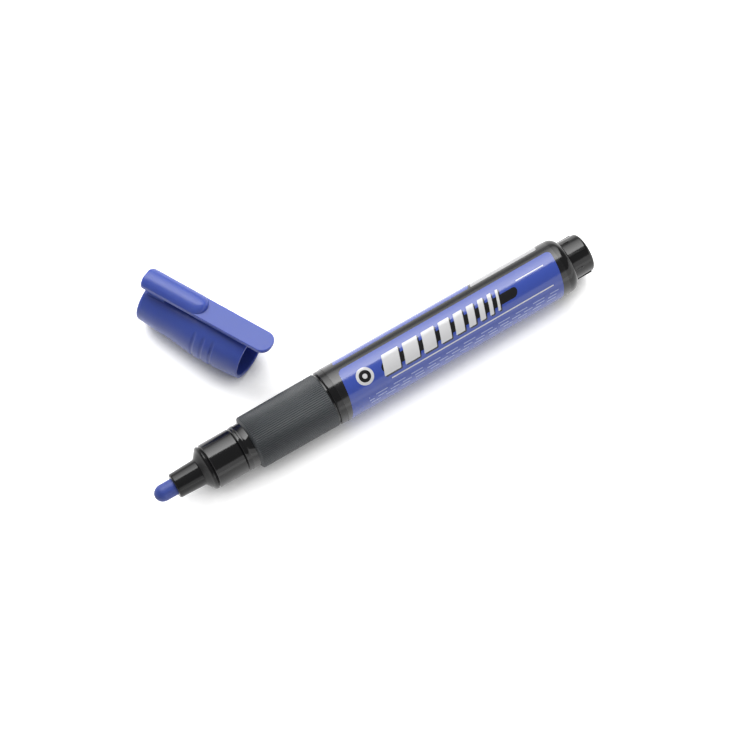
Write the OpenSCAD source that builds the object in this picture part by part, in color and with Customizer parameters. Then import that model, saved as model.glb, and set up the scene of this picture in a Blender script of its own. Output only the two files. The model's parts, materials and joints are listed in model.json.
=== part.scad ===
/* [Barrel] */
// Length of the barrel's straight part
barrel_len = 74.6; // [65:0.1:85]
// Wall of the barrel and of its tail post
barrel_wall = 1.2; // [1:0.05:1.4]
// Rounding of the barrel's front rim
barrel_rim = 0.5; // [0.3:0.05:0.7]
// Length of the rounded shoulder behind the barrel
shoulder_len = 2.4; // [1.8:0.1:3]

/* [Tail post] */
// Diameter of the post where it leaves the shoulder
post_d = 11.6; // [10:0.1:12.5]
// Length of the post
post_len = 6.4; // [5.4:0.1:9]
// Rounding of the post's far rim
post_rim = 0.9; // [0.5:0.05:1.1]
// Draft of the post's radius over its length
post_draft = 0.15; // [0.05:0.05:0.3]
// Width of the land where the shoulder meets the post
post_land = 0.1; // [0.05:0.05:0.3]
// Width of the friction ribs on the post
post_rib_w = 0.4; // [0.3:0.05:0.6]
// Height of the friction ribs
post_rib_h = 0.16; // [0.1:0.02:0.25]
// Length of each long rib
post_rib_long = 5.2; // [4:0.1:6]
// Length of each short rib between the long ones
post_rib_short = 2.8; // [2:0.1:3.5]

/* [Label] */
// Thickness of the printed film
label_t = 0.08; // [0.06:0.01:0.12]
// Layer of glue between film and barrel
label_glue = 0.02; // [0.01:0.01:0.04]
// Bare barrel in front of the film
label_front = 1.6; // [1:0.1:4]
// Bare barrel behind the film
label_rear = 0.8; // [0.5:0.1:3]

/* [Grip] */
// Length of the ribbed grip sleeve
grip_len = 24; // [20:0.5:28]
// Depth of the grip's rear end below the surface of the barrel
grip_inset = 0.14; // [0:0.02:0.5]
// Radius that the grip loses from its rear end to its front edge
grip_taper = 0.13; // [0:0.01:0.3]
// Wall of the grip sleeve at its rear end, over the ribs
grip_wall = 1.55; // [1.3:0.05:1.7]
// Number of lengthwise ribs round the grip
grip_ribs = 84; // [60:2:90]
// Depth of the grooves between the ribs
grip_rib_depth = 0.14; // [0.08:0.02:0.2]
// Length of the sloping front edge of the grip
grip_chamfer = 0.6; // [0.4:0.05:1.2]
// Height of the grip's front edge over the collar
grip_edge = 0.1; // [0.05:0.05:0.3]
// Bevel on the grip's rear edge
grip_rear_bevel = 0.25; // [0.1:0.05:0.4]

/* [Collar] */
// Height of the collar over the core that carries the grip sleeve
collar_step = 0.2; // [0.1:0.05:0.4]
// Length of the collar in front of the grip
collar_len = 12.5; // [10:0.1:14]
// Wall of the core between the grip sleeve and the valve
core_wall = 1; // [0.8:0.05:1.3]
// Width of the open groove between grip and barrel
parting_gap = 0.5; // [0.3:0.05:0.8]
// Depth of that groove below the surface of the barrel
parting_depth = 0.72; // [0.4:0.02:1]
// Length of the spigot that is pressed into the barrel
spigot_len = 12; // [9:0.5:15]
// Width of the ledge inside the spigot that the valve housing rests on
housing_ledge = 0.3; // [0.2:0.05:0.5]
// Distance from the grip's front edge to the snap bead for the cap
bead_at = 2.1; // [1.5:0.1:2.4]
// Width of the snap bead
bead_w = 0.9; // [0.6:0.1:1.2]
// Height of the snap bead
bead_h = 0.12; // [0.06:0.02:0.16]
// Distance from the grip's front edge to the round groove
ring_groove_at = 3.1; // [3:0.1:4]
// Width of the round groove
ring_groove_w = 0.6; // [0.5:0.05:0.7]
// Depth of the round groove
ring_groove_depth = 0.2; // [0.16:0.02:0.3]

/* [Nib holder] */
// Wall of the nose round the nib, at its front end
nose_wall = 1.1; // [0.9:0.05:1.2]
// Radius that the nose gains from its front end to the cone
nose_draft = 0.25; // [0.1:0.05:0.4]
// Length of the nose
nose_len = 7.7; // [6:0.1:9]
// Chamfer of the nose's front rim
nose_chamfer = 0.35; // [0.2:0.05:0.5]
// Radius lost over the rounded edge between collar and cone
cone_step = 0.8; // [0.5:0.05:1.1]
// Length of the steep cone
cone_len = 1.75; // [1.2:0.05:2.5]
// Length of the rounded edge between cone and collar
cone_round_len = 1.15; // [0.8:0.05:1.5]
// Length of the nib holder's spigot inside the collar
holder_spigot_len = 9.5; // [7:0.5:10]
// Bevel on the rear edge of that spigot
holder_bevel = 0.2; // [0.1:0.05:0.4]
// Width of the V-shaped joint between collar and nib holder
joint_w = 0.8; // [0.5:0.05:1]
// Depth of that joint
joint_depth = 0.3; // [0.15:0.05:0.4]

/* [Nib] */
// Diameter of the round nib
nib_d = 4.76; // [4:0.02:4.9]
// Length of nib that stands out of the nose
nib_out = 5.9; // [4.5:0.05:7]
// Length of the nib's bullet end
nib_bullet_len = 2.6; // [2.4:0.1:3.2]
// Travel of the nib when it is pressed to open the valve
nib_travel = 1.5; // [0.8:0.1:2]
// Radial running gap round the nib
nib_play = 0.07; // [0.04:0.01:0.1]
// Length of nib behind the nib holder
nib_tail = 1; // [0.5:0.1:2]

/* [Valve] */
// Bore of the valve housing, which the walls of housing, collar, grip and barrel stand round
chamber_d = 8.14; // [7.7:0.02:8.8]
// Wall of the valve housing
housing_wall = 1.1; // [0.9:0.05:1.3]
// Thickness of the housing's seat wall
seat_wall = 1.5; // [1:0.1:2]
// Gap left between push head and seat wall when the nib is pressed right in
stop_gap = 0.3; // [0.2:0.05:0.6]
// Diameter of the paint port through the seat wall
port_d = 4; // [3.4:0.1:4.4]
// Thickness of the rubber valve seal
seal_t = 0.95; // [0.6:0.05:1.2]
// Step from the edge of the paint port to the hole in the seal
seal_inset = 0.2; // [0.1:0.05:0.4]
// Diameter of the valve stem's rod
rod_d = 2.2; // [1.8:0.1:2.6]
// Gap for the paint between the stem's valve disc and the housing
disc_play = 0.35; // [0.2:0.05:0.9]
// Thickness of the valve disc
disc_t = 1.6; // [1:0.1:2]
// Diameter of the stem's push head behind the nib
head_d = 4.4; // [3.6:0.1:4.8]
// Thickness of the push head
head_t = 1.5; // [1:0.1:2]
// Free gap between the valve disc and its seal
seal_gap = 0.05; // [0.02:0.01:0.08]
// Thickness of the retainer that guides the stem
retainer_t = 2; // [1.5:0.1:3]
// Distance from the seat wall to the retainer
retainer_at = 15.5; // [14:0.1:16]
// Number of paint holes through the retainer
retainer_ports = 6; // [4:1:6]
// Diameter of each paint hole
retainer_port_d = 1.3; // [1:0.1:1.4]
// Radial running gap round the stem's rod
rod_play = 0.05; // [0.03:0.01:0.1]
// Wire diameter of the valve spring
wire_d = 0.45; // [0.35:0.05:0.55]
// Mean diameter of the valve spring
spring_d = 4.4; // [4:0.1:5]
// Turns of the valve spring
spring_turns = 7; // [5:1:8]
// Fitting gap of parts pressed into a bore
press_gap = 0.03; // [0.02:0.01:0.05]

/* [Mixing ball] */
// Diameter of the steel mixing ball
ball_d = 6; // [5:0.5:7]
// Gap under the ball where it lies in the barrel
ball_gap = 0.15; // [0.1:0.05:0.3]
// Gap left at each end of the ball's travel
ball_end_gap = 0.3; // [0.2:0.1:0.5]

/* [Cap] */
// Length of the cap's body
cap_len = 33.2; // [32:0.1:36]
// Wall of the cap round the liner, at its closed end
cap_side_wall = 1.45; // [1.3:0.05:1.8]
// Radius that the cap gains from its closed end to the start of the swelling
cap_draft = 0.35; // [0.1:0.05:0.5]
// Wall of the cap round the socket, at its mouth
cap_mouth_wall = 0.85; // [0.8:0.05:1.3]
// Height of the widest ring over the mouth
cap_swell = 0.6; // [0.45:0.05:0.8]
// Distance from the closed end to the start of the swelling
cap_neck_at = 7.5; // [6.5:0.1:8.5]
// Distance from the closed end to the widest ring
cap_max_at = 21; // [19:0.5:23]
// Rounding of the closed end's rim
cap_rim = 0.8; // [0.5:0.1:1.1]
// Height of the gently domed closed end
cap_dome = 0.35; // [0.2:0.05:0.6]
// Wall of the closed end at its middle
cap_end_wall = 1.8; // [1.4:0.1:2.4]
// Radial gap between the cap's socket and the collar
socket_play = 0.05; // [0.03:0.01:0.1]
// Room left in front of the collar's rounded edge when the cap is on
socket_room = 0.2; // [0.1:0.05:0.5]
// Radial room round the cone in the bore behind the socket
cone_room = 0.3; // [0.1:0.05:0.6]
// Lead-in chamfer inside the mouth
mouth_chamfer = 0.3; // [0.2:0.05:0.5]
// Finger grooves on each side of the cap
finger_grooves = 3; // [2:1:4]
// Distance from the mouth to the first finger groove
finger_groove_at = 8.5; // [6:0.1:9]
// Spacing of the finger grooves
finger_groove_pitch = 2.9; // [2.4:0.1:3.4]
// Radius of the groove's round section
finger_groove_r = 0.7; // [0.5:0.05:0.9]
// Depth of the finger grooves
finger_groove_depth = 0.28; // [0.15:0.02:0.4]
// Angle that each finger groove spans
finger_groove_span = 96; // [60:2:120]

/* [Cap liner] */
// Wall of the soft liner that seals on the nose
liner_wall = 1.1; // [0.9:0.05:1.2]
// Length of the liner
liner_len = 13; // [11:0.1:14]
// Thickness of the liner's floor
liner_floor = 1.5; // [1:0.1:2]
// Gap between the liner and the widest part of the nose
liner_play = 0.07; // [0.04:0.01:0.1]
// Length of the liner's tapered lead-in
liner_lead = 1; // [0.5:0.1:1.5]
// Edge left at the liner's open end
liner_edge = 0.2; // [0.1:0.05:0.4]

/* [Clip] */
// Width of the clip
clip_w = 6.7; // [6.3:0.1:7.2]
// Thickness of the clip's flat plate
clip_t = 1.35; // [1:0.05:1.8]
// Gap between the clip and the cap's widest ring
clip_gap = 0.85; // [0.6:0.05:1.2]
// Length of clip past the mouth of the cap
clip_past_mouth = 6.4; // [4:0.1:7]
// Length of clip past the closed end
clip_past_end = 0.8; // [0.5:0.1:1.5]
// Plan radius of the clip's rounded corners at its tip
clip_tip_r = 3; // [2:0.1:3.1]
// Length of the raised back on the clip's fixed end
back_len = 19.6; // [16:0.1:22]
// Height of the raised back over the plate
back_h = 1.7; // [1.2:0.1:2.2]
// Plan radius of the clip's corners at its fixed end
clip_root_r = 1.3; // [0.8:0.1:2]
// Plan radius of the raised back's corners at its other end
back_tip_r = 3.1; // [2:0.1:3.1]
// Radius over which the raised back comes down at the clip's fixed end
back_root_edge = 0.8; // [0.5:0.1:1.2]
// Radius over which the raised back comes down at its other end
back_tip_edge = 1.5; // [1:0.1:1.7]
// Distance from the closed end to the foot that joins clip and cap
foot_at = 1.2; // [0.9:0.1:2]
// Length of that foot
foot_len = 5.6; // [4:0.1:6.4]
// Width of that foot
foot_w = 5; // [4:0.1:5.4]

/* [Resting place of the cap] */
// Distance from the barrel's front rim to the cap's mouth, along the marker
cap_x = 10.9; // [5:0.1:16]
// Distance from the marker's axis to the cap's mouth, across the marker
cap_y = -22.05; // [-30:0.05:-20]
// Turn of the cap on the table, from the marker's direction
cap_turn = 116.8; // [110:0.1:125]
// Lift of the cap's mouth end as it lies
cap_tilt = 1.3; // [0:0.1:3]
// Roll of the clip away from straight up
cap_roll = 10.5; // [0:0.5:14]

/* [Hidden] */
$fn = 96;
black = "#1b1b1d";
grip_grey = "#3f4246";
paint_blue = "#3d50a0";
label_blue = "#3f55b4";
steel = "#b8bcc2";
natural = "#d9d6cc";
eps = 0.01;

// Stations along the marker: zero is the barrel's front rim, plus is towards the nib
grip_rear_x = parting_gap;
grip_front_x = grip_rear_x + grip_len;
ring_groove_x = grip_front_x + ring_groove_at;
collar_front_x = grip_front_x + collar_len;
edge_rear_x = collar_front_x + joint_w / 2;
cone_foot_x = collar_front_x + cone_round_len;
cone_top_x = cone_foot_x + cone_len;
nose_front_x = cone_top_x + nose_len;
nib_tip_x = nose_front_x + nib_out;
holder_rear_x = collar_front_x - holder_spigot_len;
nib_rear_x = holder_rear_x - nib_tail;
head_rear_x = nib_rear_x - head_t;
seat_front_x = head_rear_x - nib_travel - stop_gap;
seat_rear_x = seat_front_x - seat_wall;
seal_rear_x = seat_rear_x - seal_t;
disc_front_x = seal_rear_x - seal_gap;
disc_rear_x = disc_front_x - disc_t;
retainer_front_x = seat_rear_x - retainer_at;
retainer_rear_x = retainer_front_x - retainer_t;
spigot_rear_x = -spigot_len;
shoulder_x = -barrel_len;
post_x = shoulder_x - shoulder_len;
tail_x = post_x - post_len;

// Radii along the marker
chamber_r = chamber_d / 2;
housing_r = chamber_r + housing_wall;
collar_bore_r = housing_r + press_gap;
core_r = collar_bore_r + core_wall;
collar_r = core_r + collar_step;
grip_r = core_r + press_gap + grip_wall;
grip_front_r = grip_r - grip_taper;
barrel_r = grip_r + grip_inset;
label_in_r = barrel_r + label_glue;
label_r = label_in_r + label_t;
reservoir_r = barrel_r - barrel_wall;
parting_r = barrel_r - parting_depth;
post_r = post_d / 2;
post_end_r = post_r - post_draft;
seam_r = post_r + post_land;
spigot_r = reservoir_r - press_gap;
spigot_bore_r = collar_bore_r - housing_ledge;
holder_spigot_r = collar_bore_r - press_gap;
port_r = port_d / 2;
rod_r = rod_d / 2;
disc_r = chamber_r - disc_play;
nib_r = nib_d / 2;
nib_bore_r = nib_r + nib_play;
nose_front_r = nib_bore_r + nose_wall;
nose_rear_r = nose_front_r + nose_draft;
cone_foot_r = collar_r - cone_step;
reservoir_end_x = shoulder_x + barrel_wall / 2;

// The ball lies at the bottom of the reservoir, at its tail end
ball_r = ball_d / 2;
ball_drop = reservoir_r - ball_r - ball_gap;
ball_x = reservoir_end_x + ball_r + ball_end_gap;

// Measures of the cap: x runs from its closed end to its mouth
socket_r = collar_r + socket_play;
socket_len = collar_len + cone_round_len + socket_room;
mid_bore_r = cone_foot_r + cone_room;
liner_bore_r = nose_rear_r + liner_play;
liner_r = liner_bore_r + liner_wall;
deep_bore_r = liner_r + press_gap;
liner_end_x = cap_end_wall + liner_len;
cap_end_r = deep_bore_r + cap_side_wall;
cap_neck_r = cap_end_r + cap_draft;
cap_mouth_r = socket_r + cap_mouth_wall;
cap_max_r = cap_mouth_r + cap_swell;
clip_under = cap_max_r + clip_gap;
clip_top = clip_under + clip_t;
clip_start_x = -clip_past_end;
clip_len = cap_len + clip_past_mouth - clip_start_x;
foot_sunk = 1.2;

// Outline of the cap's body as radius and distance from the closed end
cap_steps = 10;
function swelling_r(u) = cap_neck_r + (cap_max_r - cap_neck_r) * (1 - cos(180 * u)) / 2;
function mouth_end_r(u) = cap_max_r - cap_swell * u * u;
cap_outline = concat(
    [for (a = [0 : 15 : 90]) [cap_end_r - cap_rim + cap_rim * sin(a), cap_rim - cap_rim * cos(a)]],
    [for (i = [0 : cap_steps])
        let (u = i / cap_steps) [swelling_r(u), cap_neck_at + (cap_max_at - cap_neck_at) * u]],
    [for (i = [1 : cap_steps])
        let (u = i / cap_steps) [mouth_end_r(u), cap_max_at + (cap_len - cap_max_at) * u]]);

// The cap lies on the lowest point of that outline
cap_axis_z = max([for (p = cap_outline) p[0] * cos(cap_tilt) + (cap_len - p[1]) * sin(cap_tilt)]);

// The origin is under the middle of marker and cap together
far_side_y = cap_y - cap_len * sin(cap_turn) - (cap_end_r - cap_rim / 2) * abs(cos(cap_turn));
origin_x = (nib_tip_x + tail_x) / 2;
origin_y = (label_r + far_side_y) / 2;

// Children stand on the marker's axis with plus z towards the nib
module on_marker() {
    translate([-origin_x, -origin_y, label_r]) rotate([0, 90, 0]) children();
}

// Children lie as the cap does, with plus x towards its mouth and plus z towards the clip
module on_cap() {
    translate([cap_x - origin_x, cap_y - origin_y, cap_axis_z])
        rotate([0, 0, cap_turn]) rotate([0, -cap_tilt, 0]) rotate([-cap_roll, 0, 0])
            translate([-cap_len, 0, 0]) children();
}

// A ring or disc between two stations
module ring(from, to, r, hole = 0) {
    translate([0, 0, from]) difference() {
        cylinder(r = r, h = to - from);
        if (hole > 0) translate([0, 0, -1]) cylinder(r = hole, h = to - from + 2);
    }
}

// Straight body, shoulder and tail post in one moulding, hollow to the tail
module barrel() {
    color(black) on_marker() {
        difference() {
            rotate_extrude() polygon(concat(
                [[0, tail_x], [post_end_r - post_rim, tail_x]],
                [for (a = [15 : 15 : 90])
                    [post_end_r - post_rim + post_rim * sin(a), tail_x + post_rim - post_rim * cos(a)]],
                [[post_r, post_x]],
                [for (a = [0 : 9 : 90])
                    [seam_r + (barrel_r - seam_r) * sin(a), shoulder_x - shoulder_len * cos(a)]],
                [for (a = [0 : 15 : 90])
                    [barrel_r - barrel_rim + barrel_rim * cos(a), -barrel_rim + barrel_rim * sin(a)]],
                [[0, 0]]));
            translate([0, 0, reservoir_end_x]) cylinder(r = reservoir_r, h = barrel_len + 1);
            translate([0, 0, tail_x + barrel_wall])
                cylinder(r = post_r - barrel_wall, h = reservoir_end_x - tail_x);
        }
        post_ribs();
    }
}

// Long and short friction ribs in turn round the tail post
module post_ribs() {
    pairs = 4;
    for (i = [0 : pairs - 1]) {
        rotate([0, 0, 360 / pairs * i]) post_rib(post_rib_long);
        rotate([0, 0, 360 / pairs * (i + 0.5)]) post_rib(post_rib_short);
    }
}

module post_rib(length) {
    sunk = post_draft + post_rib_h;
    translate([post_r - sunk, -post_rib_w / 2, post_x - length])
        cube([sunk + post_rib_h, post_rib_w, length]);
}

// Printed film wrapped once round the barrel
module label() {
    color(label_blue) on_marker()
        ring(shoulder_x + label_rear, -barrel_rim - label_front, label_r, label_in_r);
}

// Sleeve with fine lengthwise ribs, slid over the collar's core
module grip_sleeve() {
    pitch = 360 / grip_ribs;
    groove_r = grip_r - grip_rib_depth;
    rib = [[0, groove_r], [0.3, grip_r], [0.7, grip_r]];
    color(grip_grey) on_marker() difference() {
        intersection() {
            translate([0, 0, grip_rear_x]) linear_extrude(grip_len) polygon(
                [for (i = [0 : grip_ribs - 1], p = rib)
                    p[1] * [cos((i + p[0]) * pitch), sin((i + p[0]) * pitch)]]);
            rotate_extrude() polygon([
                [0, grip_rear_x],
                [grip_r - grip_rear_bevel, grip_rear_x],
                [grip_r, grip_rear_x + grip_rear_bevel],
                [grip_front_r, grip_front_x - grip_chamfer],
                [collar_r + grip_edge, grip_front_x],
                [0, grip_front_x]]);
        }
        translate([0, 0, grip_rear_x - 1]) cylinder(r = core_r + press_gap, h = grip_len + 2);
    }
}

// Glossy collar for the cap, core for the grip and spigot for the barrel in one moulding
module front_collar() {
    color(black) on_marker() difference() {
        union() {
            ring(spigot_rear_x, grip_rear_x, spigot_r);
            ring(0, grip_rear_x, parting_r);
            ring(0, grip_front_x, core_r);
            difference() {
                ring(grip_front_x, collar_front_x, collar_r);
                round_groove();
                joint_bevel();
            }
            snap_bead();
        }
        translate([0, 0, retainer_rear_x])
            cylinder(r = collar_bore_r, h = collar_front_x - retainer_rear_x + 1);
        translate([0, 0, spigot_rear_x - 1])
            cylinder(r = spigot_bore_r, h = retainer_front_x - spigot_rear_x);
    }
}

// Groove of round section behind the plain stretch that the cap fits
module round_groove() {
    groove_r = (ring_groove_w * ring_groove_w / 4 + ring_groove_depth * ring_groove_depth)
        / (2 * ring_groove_depth);
    rotate_extrude() translate([collar_r - ring_groove_depth + groove_r, ring_groove_x + ring_groove_w / 2])
        circle(r = groove_r, $fn = 32);
}

// The collar's half of the V-shaped joint
module joint_bevel() {
    translate([0, 0, collar_front_x - joint_w / 2]) difference() {
        cylinder(r = collar_r + 1, h = joint_w);
        cylinder(r1 = collar_r, r2 = collar_r - 2 * joint_depth, h = joint_w);
    }
}

// Low round bead that the cap snaps over
module snap_bead() {
    bead_r = (bead_w * bead_w / 4 + bead_h * bead_h) / (2 * bead_h);
    rotate_extrude() intersection() {
        translate([collar_r + bead_h - bead_r, grip_front_x + bead_at]) circle(r = bead_r);
        translate([collar_r - bead_h, grip_front_x + bead_at - bead_w]) square([3 * bead_h, 2 * bead_w]);
    }
}

// Nose, steep cone and rounded edge, with a spigot pressed into the collar
module nib_holder() {
    color(black) on_marker() difference() {
        rotate_extrude() polygon(concat(
            [[0, holder_rear_x], [holder_spigot_r - holder_bevel, holder_rear_x],
                [holder_spigot_r, holder_rear_x + holder_bevel], [holder_spigot_r, collar_front_x],
                [collar_r - joint_depth, collar_front_x]],
            [for (a = [0 : 15 : 90])
                [cone_foot_r + cone_step * cos(a), edge_rear_x + (cone_foot_x - edge_rear_x) * sin(a)]],
            [[nose_rear_r, cone_top_x],
                [nose_front_r, nose_front_x - nose_chamfer],
                [nose_front_r - nose_chamfer, nose_front_x],
                [0, nose_front_x]]));
        translate([0, 0, holder_rear_x - 1]) cylinder(r = nib_bore_r, h = nib_tip_x);
    }
}

// Round fibre nib with a bullet end
module nib() {
    color(paint_blue) on_marker() rotate_extrude() polygon(concat(
        [[0, nib_rear_x], [nib_r, nib_rear_x]],
        [for (a = [0 : 7.5 : 90])
            [nib_r * cos(a), nib_tip_x - nib_bullet_len + nib_bullet_len * sin(a)]]));
}

// Cup with the seat wall, held between the collar's step and the nib holder
module valve_housing() {
    color(natural) on_marker() difference() {
        ring(retainer_rear_x, holder_rear_x, housing_r);
        translate([0, 0, seat_front_x])
            cylinder(r = chamber_r, h = holder_rear_x - seat_front_x + 1);
        translate([0, 0, retainer_rear_x - 1])
            cylinder(r = chamber_r, h = seat_rear_x - retainer_rear_x + 1);
        translate([0, 0, seat_rear_x - 1]) cylinder(r = port_r, h = seat_wall + 2);
    }
}

// Rubber ring on the seat wall
module valve_seal() {
    color("#4a4a4c") on_marker()
        ring(seal_rear_x, seat_rear_x, chamber_r - press_gap, port_r + seal_inset);
}

// Push head behind the nib, rod, valve disc and guide rod in one piece
module valve_stem() {
    color(natural) on_marker() {
        ring(head_rear_x, nib_rear_x, head_d / 2);
        ring(retainer_rear_x, head_rear_x + eps, rod_r);
        ring(disc_rear_x, disc_front_x, disc_r);
    }
}

// Point on the spring's centre line after a share of its length
function coil(u, from, to) =
    [spring_d / 2 * cos(360 * spring_turns * u), spring_d / 2 * sin(360 * spring_turns * u),
        from + (to - from) * u];

// Compression spring between the retainer and the valve disc, as one swept wire
module valve_spring() {
    sides = 8;
    steps = spring_turns * 16;
    from = retainer_front_x + wire_d / 2;
    to = disc_rear_x - wire_d / 2;
    points = [for (i = [0 : steps], k = [0 : sides - 1])
        let (u = i / steps, turn = 360 * spring_turns * u, a = 360 * k / sides)
        coil(u, from, to)
            + wire_d / 2 * cos(a) * [cos(turn), sin(turn), 0]
            + [0, 0, wire_d / 2 * sin(a)]];
    sweep = [for (i = [0 : steps - 1], k = [0 : sides - 1])
        let (a = i * sides + k, b = i * sides + (k + 1) % sides)
        [a, b, b + sides, a + sides]];
    ends = [[for (k = [sides - 1 : -1 : 0]) k], [for (k = [0 : sides - 1]) steps * sides + k]];
    color(steel) on_marker() polyhedron(points, concat(sweep, ends), convexity = 10);
}

// Disc that closes the housing, guides the stem and lets the paint through
module valve_retainer() {
    port_ring_r = (rod_r + chamber_r) / 2;
    color(natural) on_marker() difference() {
        ring(retainer_rear_x, retainer_front_x, chamber_r - press_gap, rod_r + rod_play);
        for (i = [0 : retainer_ports - 1])
            rotate([0, 0, 360 / retainer_ports * i])
                translate([port_ring_r, 0, retainer_rear_x - 1])
                    cylinder(d = retainer_port_d, h = retainer_t + 2, $fn = 24);
    }
}

// Steel ball that stirs the paint
module mixing_ball() {
    color(steel) on_marker() translate([ball_drop, 0, ball_x]) sphere(r = ball_r);
}

// Moulded cap with its clip
module cap() {
    color(paint_blue) on_cap() difference() {
        union() {
            difference() {
                cap_body();
                for (side = [-90, 90], i = [0 : finger_grooves - 1])
                    finger_groove(side, cap_len - finger_groove_at - finger_groove_pitch * i);
            }
            clip();
        }
        cap_bores();
    }
}

// Turned outline of the cap with a gently domed end
module cap_body() {
    dome_r = cap_end_r - cap_rim;
    rotate([0, 90, 0]) rotate_extrude() polygon(concat(
        [[0, cap_len], [0, -cap_dome]],
        [for (u = [0.25 : 0.25 : 0.75]) [dome_r * u, -cap_dome * (1 - u * u)]],
        cap_outline));
}

// Socket for the collar, bore behind it and deep bore for the liner
module cap_bores() {
    rotate([0, 90, 0]) {
        translate([0, 0, cap_len - socket_len]) cylinder(r = socket_r, h = socket_len + 1);
        translate([0, 0, cap_len - mouth_chamfer])
            cylinder(r1 = socket_r, r2 = socket_r + 2 * mouth_chamfer, h = 2 * mouth_chamfer);
        translate([0, 0, liner_end_x]) cylinder(r = mid_bore_r, h = cap_len - liner_end_x - 1);
        translate([0, 0, cap_end_wall]) cylinder(r = deep_bore_r, h = liner_len);
    }
}

// Radius of the swollen part of the cap at a distance from its closed end
function body_r(x) = x > cap_max_at
    ? mouth_end_r((x - cap_max_at) / (cap_len - cap_max_at))
    : swelling_r((x - cap_neck_at) / (cap_max_at - cap_neck_at));

// Shallow round groove along one side of the cap
module finger_groove(side, x) {
    groove_r = body_r(x) - finger_groove_depth + finger_groove_r;
    translate([x, 0, 0]) rotate([side, 0, 0]) rotate([0, 90, 0])
        rotate([0, 0, 180 - finger_groove_span / 2])
            rotate_extrude(angle = finger_groove_span) translate([groove_r, 0]) circle(r = finger_groove_r);
}

// Points on an arc round a centre
function arc(centre, r, from, to, steps = 6) =
    [for (i = [0 : steps])
        let (a = from + (to - from) * i / steps) centre + r * [cos(a), sin(a)]];

// Outline of a strip that starts at x = 0, with its own corner radius at each end
function strip(length, width, start_r, end_r) =
    let (r1 = min(start_r, width / 2 - eps), r2 = min(end_r, width / 2 - eps), half = width / 2)
    concat(arc([r1, r1 - half], r1, 180, 270), arc([length - r2, r2 - half], r2, 270, 360),
        arc([length - r2, half - r2], r2, 0, 90), arc([r1, half - r1], r1, 90, 180));

// Flat plate with a round tip, raised back and the foot that joins it to the cap
module clip() {
    translate([clip_start_x, 0, clip_under]) {
        linear_extrude(clip_t) polygon(strip(clip_len, clip_w, clip_root_r, clip_tip_r));
        raised_back();
    }
    translate([foot_at, -foot_w / 2, cap_end_r - foot_sunk])
        cube([foot_len, foot_w, clip_under - cap_end_r + foot_sunk + clip_t / 2]);
}

// Crowned back: what its plan, its side and its crowned section have in common
module raised_back() {
    half = clip_w / 2;
    top = clip_t + back_h;
    crown_r = (half * half + back_h * back_h) / (2 * back_h);
    crown_a = asin(half / crown_r);
    intersection() {
        linear_extrude(top + 1) polygon(strip(back_len, clip_w, clip_root_r, back_tip_r));
        translate([0, half + 1, 0]) rotate([90, 0, 0]) linear_extrude(clip_w + 2) polygon(concat(
            [[-1, clip_t / 2], [back_len + 1, clip_t / 2]],
            arc([back_len - back_tip_edge, top - back_tip_edge], back_tip_edge, 0, 90),
            arc([back_root_edge, top - back_root_edge], back_root_edge, 90, 180)));
        translate([-1, 0, 0]) rotate([90, 0, 90]) linear_extrude(back_len + 2) polygon(concat(
            [[-half - 1, clip_t / 2], [half + 1, clip_t / 2], [half + 1, clip_t]],
            arc([0, top - crown_r], crown_r, 90 - crown_a, 90 + crown_a, 12),
            [[-half - 1, clip_t]]));
    }
}

// Soft cup in the closed end that seals on the nose
module cap_liner() {
    color(natural) on_cap() rotate([0, 90, 0]) difference() {
        ring(cap_end_wall, liner_end_x, liner_r);
        translate([0, 0, cap_end_wall + liner_floor]) cylinder(r = liner_bore_r, h = liner_len);
        translate([0, 0, liner_end_x - liner_lead])
            cylinder(r1 = liner_bore_r, r2 = liner_r - liner_edge, h = liner_lead + eps);
    }
}

barrel();
label();
grip_sleeve();
front_collar();
nib_holder();
nib();
valve_housing();
valve_seal();
valve_stem();
valve_spring();
valve_retainer();
mixing_ball();
cap();
cap_liner();
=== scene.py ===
"""Looks of an uncapped oil paint marker and the cap that lies beside it."""
import json
import math

import bmesh
import bpy
from mathutils import Matrix, Vector


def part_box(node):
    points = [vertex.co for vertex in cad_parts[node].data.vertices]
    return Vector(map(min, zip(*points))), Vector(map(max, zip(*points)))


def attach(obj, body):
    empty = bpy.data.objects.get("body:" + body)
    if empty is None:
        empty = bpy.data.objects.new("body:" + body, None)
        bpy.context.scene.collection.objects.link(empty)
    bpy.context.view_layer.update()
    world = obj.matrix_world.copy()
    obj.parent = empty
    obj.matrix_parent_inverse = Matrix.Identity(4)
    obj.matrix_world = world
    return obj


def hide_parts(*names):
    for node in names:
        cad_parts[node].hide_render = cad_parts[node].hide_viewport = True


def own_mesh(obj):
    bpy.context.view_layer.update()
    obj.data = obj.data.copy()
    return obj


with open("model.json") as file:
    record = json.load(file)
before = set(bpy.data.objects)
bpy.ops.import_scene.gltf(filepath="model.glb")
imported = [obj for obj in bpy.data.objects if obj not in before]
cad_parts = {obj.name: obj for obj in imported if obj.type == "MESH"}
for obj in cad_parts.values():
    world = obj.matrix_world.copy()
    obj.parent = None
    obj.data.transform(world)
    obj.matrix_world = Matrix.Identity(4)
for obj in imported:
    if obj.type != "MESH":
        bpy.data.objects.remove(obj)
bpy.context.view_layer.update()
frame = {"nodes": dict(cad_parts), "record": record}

# Places are millimetres along the marker from the barrel's front rim, plus towards the nib
MM = 0.001
SIDES = 144


def span(node):
    """Rear end, front end and outer radius of a CAD node on the marker, in millimetres."""
    low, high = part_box(node)
    return (low.x - RIM.x) / MM, (high.x - RIM.x) / MM, (high.z - low.z) / 2 / MM


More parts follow.
